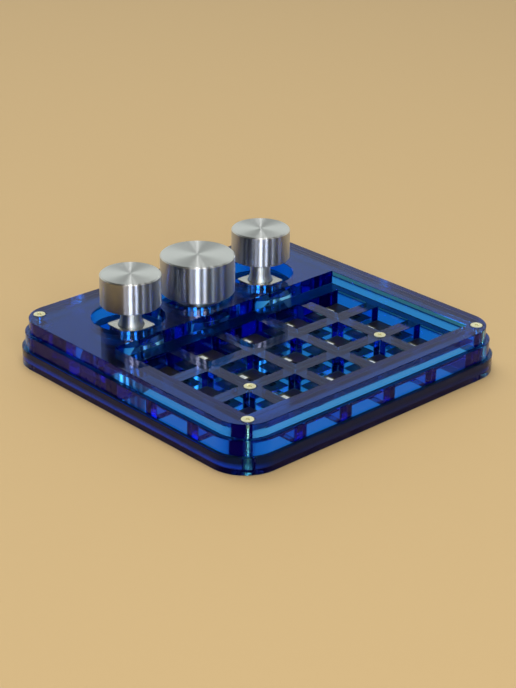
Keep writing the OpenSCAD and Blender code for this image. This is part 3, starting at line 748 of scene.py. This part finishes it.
def make_inserts():
    low, high = span("corner_inserts")
    bore, outer = THREADED_BORE, 1.6
    z, top = low.z, high.z
    centre = (z + top) / 2
    shape = bmesh.new()
    outline = [(bore, z), (outer - 0.15, z), (outer, z + 0.2), (outer, centre - 0.4), (outer - 0.3, centre - 0.3),
               (outer - 0.3, centre + 0.3), (outer, centre + 0.4), (outer, top - 0.3), (outer - 0.1, top - 0.15),
               (outer - 0.1, top), (bore, top)]
    turn(shape, outline, steps=KNURLS, closed=True)
    ridge = 2 * math.pi / KNURLS
    pressed = [v for v in shape.verts if v.co.xy.length > outer - 0.02
               and round(math.atan2(v.co.y, v.co.x) / ridge) % 2]
    bmesh.ops.scale(shape, vec=(0.93, 0.93, 1), verts=pressed)
    return add_piece(copies(shape, CORNERS), "knurled_inserts", BRASS, "case", "brass_plated", "corner_inserts")


def make_nuts():
    low, high = span("plate_nuts")
    flat, point, face = 2.0, 2.33, 2.05
    blank = bmesh.new()
    turn(blank, [(0, low.z), (face, low.z), (point, low.z + 0.2), (point, high.z - 0.2), (face, high.z),
                 (0, high.z)])
    bore = bmesh.new()
    turn(bore, [(0, low.z - 1), (THREADED_BORE, low.z - 1), (THREADED_BORE, high.z + 1), (0, high.z + 1)])
    sides = []
    for side in range(6):
        cut = bmesh.new()
        block(cut, (-4, flat, low.z - 1), (4, flat + 3, high.z + 1))
        rotate(cut, 60 * side, "Z")
        sides.append(cut)
    return add_piece(copies(carve(blank, bore, *sides), PLATE_SCREWS), "plate_hex_nuts", BRASS, "case",
                     "brass_plated", "plate_nuts")


print(make_inserts().name, make_nuts().name)

# %% [markdown]
# ## The board and its small parts
# Under every key the board has a window, and a white light fills it from below, flush with the
# board. A thin olive sheet frames each window. The parts under the board
# are seen through the clear tray, so they get their leads, bands and solder too.

# %% Key lights
LIGHT_Y = 4.6
LIGHTS = [(x, y + LIGHT_Y, z) for x, y, z in KEYS]


def make_key_lights():
    low, high = span("key_leds")
    top, leg = high.z, low.z
    half_x, half_y, leg_sheet = 1.6, 1.4, 0.19
    body = bmesh.new()
    block(body, (-half_x, -half_y, leg), (half_x, half_y, top), 0.06, 1)
    cup = bmesh.new()
    turn(cup, [(0, top - 0.5), (0.85, top - 0.5), (1.12, top + 0.5), (0, top + 0.5)])
    shape = carve(body, cup)
    for side in (-1, 1):
        for end in (-1, 1):
            y = side * 1.05
            painted(shape, 1, block, (end * 1.55, y - 0.35, leg), (end * 2.9, y + 0.35, leg + leg_sheet), 0.04)
    drop = [(0, top - 0.49), (0.84, top - 0.49), (1.05, top - 0.07), (0.5, top - 0.05), (0, top - 0.05)]
    painted(shape, 2, turn, drop, steps=24)
    return add_piece(copies(shape, LIGHTS), "key_lights", [LED_WHITE, TIN, RESIN], "case", "led_package", "key_leds")


# %% Window frames on the board
# Width, depth and corner radius of the olive frame and of the window in it.
OLIVE_FRAME, LIGHT_WINDOW = (4.3, 4.0, 0.2), (3.4, 3.0, 0.05)
FRAME_SHIFT, FRAME_SHEET = (0, 0.35), 0.03


def make_window_frames():
    shape = bmesh.new()
    bottom = board_high.z + 0.005
    rectangle_loop(shape, *OLIVE_FRAME, bottom, FRAME_SHIFT, steps=3)
    rectangle_loop(shape, *LIGHT_WINDOW, bottom, steps=1)
    slab(shape, FRAME_SHEET, 0)
    return add_piece(copies(shape, LIGHTS), "olive_window_frames", OLIVE_FRAME_FINISH, "case", "black_board")


print(make_key_lights().name, make_window_frames().name)


# %% Plug-in sockets
PINS = ((3.81, -2.54), (-2.54, -5.08))
WINGS = ((7.0, -2.54), (-5.9, -5.08))


def make_sockets():
    low, high = span("socket_housings")
    under = board_low.z
    shape = bmesh.new()
    corners = [(-4.9, -7.1), (2.5, -7.1), (2.5, -4.6), (6.0, -4.6), (6.0, -0.5), (-0.4, -0.5), (-0.4, -3.0),
               (-4.9, -3.0)]
    outline = [shape.verts.new((x, y, low.z)) for x, y in corners]
    shape.faces.new(outline)
    bmesh.ops.bevel(shape, geom=outline, offset=0.5, segments=4, profile=0.5, affect="VERTICES", material=-1)
    bmesh.ops.delete(shape, geom=shape.faces[:], context="FACES_ONLY")
    slab(shape, under - 0.01 - low.z, 0.12)
    dimples = bmesh.new()
    for pin in PINS:
        turn(dimples, [(0, low.z - 1), (1.1, low.z - 1), (0.9, low.z + 0.35), (0, low.z + 0.35)], pin, steps=24)
    # The collars overlap the housing a little, so they are added only after the cut.
    shape = carve(shape, dimples)
    for pin in PINS:
        turn(shape, [(0.8, under - 0.02), (1.45, under - 0.02), (1.45, high.z - 0.15), (1.3, high.z), (0.95, high.z),
                     (0.8, high.z - 0.15)], pin, steps=24, closed=True)
    return add_piece(copies(shape, KEYS), "plug_in_sockets", NYLON, "case", "black_nylon", "socket_housings")


def make_socket_wings():
    low, high = span("socket_contacts")
    shape = bmesh.new()
    for x, y in WINGS:
        block(shape, (x - 0.98, y - 0.85, high.z - 0.25), (x + 0.98, y + 0.85, high.z - 0.01), 0.05)
        block(shape, (x - 0.9, y - 0.75, low.z), (x + 0.9, y + 0.75, high.z - 0.2), 0.22, 3)
    return add_piece(copies(shape, KEYS), "socket_solder_wings", TIN, "case", "gold_contact", "socket_contacts")


DIODE_Y = 7.6


def make_diodes():
    low, high = span("key_diodes")
    shape = bmesh.new()
    block(shape, (-1.0, -0.75, low.z), (1.0, 0.75, high.z - 0.1), 0.12)
    for end in (-1, 1):
        painted(shape, 1, block, (end * 0.95, -0.5, high.z - 0.3), (end * 1.34, 0.5, high.z - 0.02), 0.03)
    painted(shape, 2, block, (-0.75, -0.755, low.z - 0.005), (-0.45, 0.755, high.z - 0.2), 0.03)
    shift(shape, (0, DIODE_Y))
    return add_piece(copies(shape, KEYS), "key_diode_row", [CHIP, TIN, ACETAL], "case", "black_chip", "key_diodes")


print(make_sockets().name, make_socket_wings().name, make_diodes().name)


# %% Chips
def leads(shape, reach, top, count, pitch, width, length, both_ways):
    """Rows of leads on two or four sides of a chip."""
    for turned in (False, True) if both_ways else (False,):
        for side in (-1, 1):
            for i in range(count):
                along = (i - (count - 1) / 2) * pitch
                low, high = (side * reach, along - width / 2), (side * (reach - length), along + width / 2)
                if turned:
                    low, high = low[::-1], high[::-1]
                painted(shape, 1, block, (*low, top - 0.22), (*high, top - 0.01), 0.03)


def make_chip(name, node, slot, lead_rows, finishes, inset=0.0, dot=True):
    low, high = span(node)
    centre, half = (low + high) / 2, (high - low) / 2
    shape = bmesh.new()
    block(shape, (-half.x + inset, -half.y, low.z), (half.x - inset, half.y, high.z - 0.05), 0.08)
    if dot:
        pit = bmesh.new()
        turn(pit, [(0, low.z - 1), (0.3, low.z - 1), (0.3, low.z + 0.06), (0, low.z + 0.06)],
             (-half.x + inset + 0.7, half.y - 0.7), steps=20)
        shape = carve(shape, pit)
    if lead_rows:
        leads(shape, half.x, high.z, *lead_rows)
    shift(shape, centre.to_2d())
    return add_piece(shape, name, finishes, "case", slot, node)


# Rows of leads: their number, pitch, width and length, and whether all four sides have them.
make_chip("controller_chip", "microcontroller", "black_chip", (14, 0.4, 0.22, 0.45, True), [CHIP, TIN])
make_chip("memory_chip", "flash_chip", "black_chip", (4, 1.27, 0.42, 0.9, False), [CHIP, TIN], inset=0.7)
make_chip("regulator_chip", "voltage_regulator", "black_chip", (3, 0.95, 0.4, 0.6, False), [CHIP, TIN],
          inset=0.5, dot=False)
make_chip("crystal_can", "crystal", "tinned_steel", None, [TIN], dot=False)


def make_capacitors():
    low, high = span("capacitors")
    shape = bmesh.new()
    half, step, count = 0.625, 2.2, 4
    y = (low.y + high.y) / 2
    for i in range(count):
        x = low.x + half + step * i
        block(shape, (x - 0.58, y - 0.72, low.z + 0.04), (x + 0.58, y + 0.72, high.z - 0.04), 0.05)
        for side in (-1, 1):
            painted(shape, 1, block, (x - half, y + side * 0.65, low.z), (x + half, y + side * 1.0, high.z), 0.08, 2)
    return add_piece(shape, "ceramic_capacitors", [CERAMIC, TIN], "case", "ceramic", "capacitors")


print(make_capacitors().name)


# %% USB socket
CONTACTS, CONTACT_PITCH = 12, 0.5


def make_usb():
    low, high = span("usb_shell")
    centre = (low + high) / 2
    width, height, depth, sheet = high.x - low.x, high.z - low.z, high.y - low.y, 0.3
    shell = bmesh.new()
    rectangle_loop(shell, width, height, height / 2 - 0.35, 0, steps=12)
    rectangle_loop(shell, width - 2 * sheet, height - 2 * sheet, height / 2 - 0.65, 0, steps=12)
    slab(shell, depth, 0.08)
    back = bmesh.new()
    rectangle_loop(back, width - 0.3, height - 0.3, height / 2 - 0.5, 0.05, steps=12)
    slab(back, sheet, 0)
    add_mesh(shell, back)
    rotate(shell, -90, "X")
    shift(shell, (centre.x, low.y, centre.z))
    add_piece(shell, "usb_socket_shell", TIN, "case", "tinned_steel", "usb_shell")
    tongue = bmesh.new()
    t_low, t_high = span("usb_tongue")
    block(tongue, (-3.35, t_low.y, centre.z - 0.33), (3.35, t_high.y, centre.z + 0.33), 0.12, 2)
    block(tongue, (-3.8, t_low.y, centre.z - 1.1), (3.8, t_low.y + 1.6, centre.z + 1.1), 0.1)
    for i in range(CONTACTS):
        x = (i - (CONTACTS - 1) / 2) * CONTACT_PITCH
        for z in (-0.35, 0.29):
            painted(tongue, 1, block, (x - 0.13, t_low.y + 1.7, centre.z + z),
                    (x + 0.13, t_high.y - 0.5, centre.z + z + 0.06), 0.01)
    return add_piece(tongue, "usb_socket_tongue", [NYLON, GOLD], "case", "black_chip", "usb_tongue")


print(make_usb().name)

# %% [markdown]
# ## Encoders
# A steel cover is folded over each encoder's black base, and a plain round neck stands on it.
# The straps are blocks with bevelled edges that meet the top sheet.

# %% Covers, necks and domes
COVER_SHEET, STRAP, TAB = 0.5, 7.0, 2.2
BORE, FLANGE = 3.05, 10.4


def make_cover(side):
    low, high = span(side + "_encoder_cover")
    half = (high.x - low.x) / 2
    shape = bmesh.new()
    rectangle_loop(shape, 2 * half, 2 * half, 1.0, high.z - COVER_SHEET, steps=6)
    circle_loop(shape, 4.3, high.z - COVER_SHEET, steps=48)
    slab(shape, COVER_SHEET, 0.09)
    for sign in (-1, 1):
        outer, inner = sign * half, sign * (half - COVER_SHEET)
        block(shape, (outer, -STRAP / 2, board_high.z + 0.1), (inner, STRAP / 2, high.z - 0.12), 0.09)
        block(shape, (outer, -TAB / 2, low.z), (inner, TAB / 2, board_high.z + 1), 0.09)
    shift(shape, KNOBS[side])
    return add_piece(shape, side + "_folded_cover", NICKEL, "case", "bright_steel", side + "_encoder_cover")


def make_neck(side):
    low, high = span(side + "_encoder_neck")
    cover_top = span(side + "_encoder_cover")[1].z
    bore, foot = BORE, low.z + 1.1
    shape = bmesh.new()
    outline = [(bore, foot), (4.2, foot), (4.2, cover_top + 0.4), (4.0, cover_top + 0.7),
               (3.65, cover_top + 1.9), (3.5, cover_top + 2.6), (3.5, high.z - 0.3), (3.35, high.z),
               (bore + 0.1, high.z), (bore, high.z - 0.1)]
    turn(shape, outline, steps=64, closed=True)
    flange = bmesh.new()
    rectangle_loop(flange, FLANGE, FLANGE, 0.6, low.z, steps=4)
    circle_loop(flange, 3.75, low.z, steps=48)
    slab(flange, 1.19, 0.08)
    add_mesh(shape, flange)
    mesh = turned_mesh(shape, KNOBS[side])
    return add_piece(mesh, side + "_plain_neck", NECK_ALLOY, "case", "cast_alloy", side + "_encoder_neck")


def make_dome(side):
    low, high = span(side + "_switch_dome")
    z, top, sheet = low.z, high.z, 0.12
    shape = bmesh.new()
    outline = [(0, top), (1.1, top), (1.5, top - 0.2), (2.2, z + sheet), (2.6, z + sheet), (2.6, z), (2.08, z),
               (1.4, top - 0.3), (0.98, top - sheet), (0, top - sheet)]
    turn(shape, outline, steps=32)
    shift(shape, KNOBS[side])
    piece = add_piece(shape, side + "_snap_dome", TIN, "case", "tinned_steel", side + "_switch_dome")
    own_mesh(piece)
    return piece


# %% [markdown]
# ## Knobs
# The knobs are turned from solid bar. The lathe leaves fine rings, and rings stretch every
# highlight across themselves: into streaks down the side, and into sectors on the top. The
# anisotropic shader does that, if it is told which way the rings run. So each turned piece gets
# its own map, with U once round the axis and V across the rings.

# %% Map for turned metal
def turned_mesh(bm, centre):
    """Moves a turned shape to its place, and maps its rings round that place."""
    shift(bm, centre)
    mesh = mesh_of(bm)
    uv = mesh.uv_layers.new(name="turned")
    cx, cy = centre.x * MM, centre.y * MM
    for face in mesh.polygons:
        facing = math.atan2(face.center.y - cy, face.center.x - cx)
        level = abs(face.normal.z) > 0.7
        for loop in face.loop_indices:
            p = mesh.vertices[mesh.loops[loop].vertex_index].co
            r = math.hypot(p.x - cx, p.y - cy)
            angle = math.atan2(p.y - cy, p.x - cx) if r > 1e-6 else facing
            angle = facing + (angle - facing + math.pi) % (2 * math.pi) - math.pi
            uv.data[loop].uv = (angle / (2 * math.pi), r if level else p.z)
    return mesh


# %% Knobs
# The top has a few more rings of points, so that its map keeps its sectors even.
TOP_RINGS = (0.3, 1, 3, 6)
CHAMFER, RELIEF, SET_SCREW_HOLE = 0.4, 5.5, 1.52


def make_knob(side):
    low, high = span(side + "_knob")
    radius = (high.x - low.x) / 2
    shaft_top = span(side + "_shaft")[1].z
    relief_top = span(side + "_encoder_neck")[1].z + 0.9
    outline = [(r, high.z) for r in (0, *TOP_RINGS, radius - CHAMFER)]
    outline += [(radius, high.z - CHAMFER), (radius, low.z + CHAMFER), (radius - CHAMFER, low.z)]
    if relief_top > low.z:
        outline += [(RELIEF + 0.2, low.z), (RELIEF, low.z + 0.2), (RELIEF, relief_top)]
    outline += [(BORE, max(relief_top, low.z)), (BORE, shaft_top + 0.1), (0, shaft_top + 0.1)]
    shape = bmesh.new()
    turn(shape, outline, steps=128)
    level = middle(side + "_set_screw").z
    hole = bmesh.new()
    turn(hole, [(0, BORE - 1), (SET_SCREW_HOLE, BORE - 1), (SET_SCREW_HOLE, radius + 2), (0, radius + 2)], steps=40)
    rotate(hole, -90, "X")
    shift(hole, (0, 0, level))
    mesh = turned_mesh(carve(shape, hole), KNOBS[side])
    # Upright faces take the darker copy with painted shade.
    for face in mesh.polygons:
        face.material_index = int(abs(face.normal.z) < 0.7)
    return add_piece(mesh, side + "_turned_knob", [SPUN_FACE, TURNED_SIDE_PAINTED_SHADE], side + "_control", "spun_aluminium",
                     side + "_knob")


for side in SIDES:
    made = [make(side) for make in (make_cover, make_neck, make_dome, make_knob)]
    print(", ".join(piece.name for piece in made))

# %% [markdown]
# ## Nodes that keep their own shape
# The board, the encoders' inner parts and the shafts have their right shape already, so only
# their finishes are set.

# %% Finishes for the nodes
NODE_FINISHES = {
    "circuit_board": BOARD_FACE, "encoder_base": NYLON, "terminals": TIN, "detent_spring": TIN,
    "rotor": ACETAL, "shaft": CAST, "set_screw": BLACK_STEEL,
}
for name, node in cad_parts.items():
    for ending, finish in NODE_FINISHES.items():
        if name.endswith(ending):
            node.data.materials.clear()
            node.data.materials.append(finish)
print("nodes with their own shape:", sum(any(n.endswith(e) for e in NODE_FINISHES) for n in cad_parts))

# %% [markdown]
# ## Floor and light
# The keypad lies on a plain pale table top in soft light. Shiny metal shows the lamps themselves,
# so tall narrow windows of light draw the streaks on the knobs. One wide lamp overhead fills in
# the matt surfaces. It is hidden from reflections, or it would whiten the spun tops.

# %% Stage
def screen_color(r, g, b):
    """Linear colour of 8-bit screen values."""
    return tuple(((c / 255 + 0.055) / 1.055) ** 2.4 for c in (r, g, b))


AIR_FILM, TABLE_REACH, TABLE_COLOR = 0.05, 3, screen_color(204, 173, 122)


def make_floor():
    bm = bmesh.new()
    place = Matrix.Translation((0, 0, -AIR_FILM * MM))
    bmesh.ops.create_grid(bm, x_segments=1, y_segments=1, size=TABLE_REACH, matrix=place)
    mesh = bpy.data.meshes.new("floor")
    bm.to_mesh(mesh)
    bm.free()
    material, tree, shader = new_finish("pale_table", TABLE_COLOR)
    wire(tree, shader, {"Roughness": 0.6})
    mesh.materials.append(material)
    floor = add_object("floor", mesh)


DIM, BRIGHT, OVERHEAD, STUDIO_TINT = 0.0, 0.66, 0.72, (0.95, 1.0, 0.97, 1)


def make_world():
    """Grey studio, dark behind the camera, brighter on the far side and dimmer overhead."""
    studio = bpy.data.worlds.new("studio")
    studio.use_nodes = True
    scene.world = studio
    tree = studio.node_tree
    way = tree.nodes.new("ShaderNodeTexCoord").outputs["Generated"]
    aim = {0: way, 1: (math.sin(HEADING), math.cos(HEADING), 0.0)}
    toward = add_node(tree, "ShaderNodeVectorMath", aim, operation="DOT_PRODUCT").outputs["Value"]
    up = add_node(tree, "ShaderNodeSeparateXYZ", {0: way}).outputs["Z"]

    def fade(value, start, end, first, last):
        sockets = {"Value": value, "From Min": start, "From Max": end, "To Min": first, "To Max": last}
        return add_node(tree, "ShaderNodeMapRange", sockets, interpolation_type="SMOOTHSTEP").outputs[0]

    light = math_node(tree, "MULTIPLY", fade(toward, -0.15, 0.7, DIM, BRIGHT), fade(up, 0.45, 0.85, 1.0, OVERHEAD))
    wire(tree, tree.nodes["Background"], {"Color": STUDIO_TINT, "Strength": light})


# %% Lamps
def around(azimuth, height, distance):
    """Place seen from the keypad, with the azimuth turned to the right of the camera's side."""
    angle = HEADING + math.pi - math.radians(azimuth)
    up = math.radians(height)
    level = math.cos(up) * distance
    return Vector((math.sin(angle) * level, math.cos(angle) * level, math.sin(up) * distance))


def soft_light(name, place, size, radiance, aim=(0, 0, 0)):
    data = bpy.data.lights.new(name, "AREA")
    data.shape = "RECTANGLE"
    data.size, data.size_y = size
    data.energy = radiance * math.pi * size[0] * size[1]
    light = add_object(name, data)
    light.location = place
    light.rotation_euler = (Vector(aim) - place).to_track_quat("-Z", "Y").to_euler()
    return light


def window(azimuth, width, radiance):
    """Upright strip of light, from just above the table to well above the keypad."""
    height = WINDOW_TOP - WINDOW_FOOT
    centre = Vector((0, 0, WINDOW_FOOT + height / 2))
    soft_light("window", around(azimuth, 0, WINDOW_DISTANCE) + centre, (width, height), radiance, centre)


CEILING_PLACE, CEILING_SIZE, CEILING_RADIANCE = (215, 78, 1.3), (0.9, 1.3), 3.2
WINDOW_FOOT, WINDOW_TOP, WINDOW_DISTANCE = 0.05, 1.3, 1.2
# Azimuth, width and radiance of each window.
WINDOWS = ((1.5, 0.2, 12), (23.5, 0.13, 9.5), (50, 0.08, 4.5), (-10, 0.12, 1.2), (-18, 0.16, 2.6), (60, 0.1, 0.8),
           (80, 0.2, 1.1))
make_floor()
make_world()
ceiling = soft_light("ceiling", around(*CEILING_PLACE), CEILING_SIZE, CEILING_RADIANCE)
ceiling.visible_glossy = False
for azimuth, width, radiance in WINDOWS:
    window(azimuth, width, radiance)
print("lamps:", len(WINDOWS) + 1)
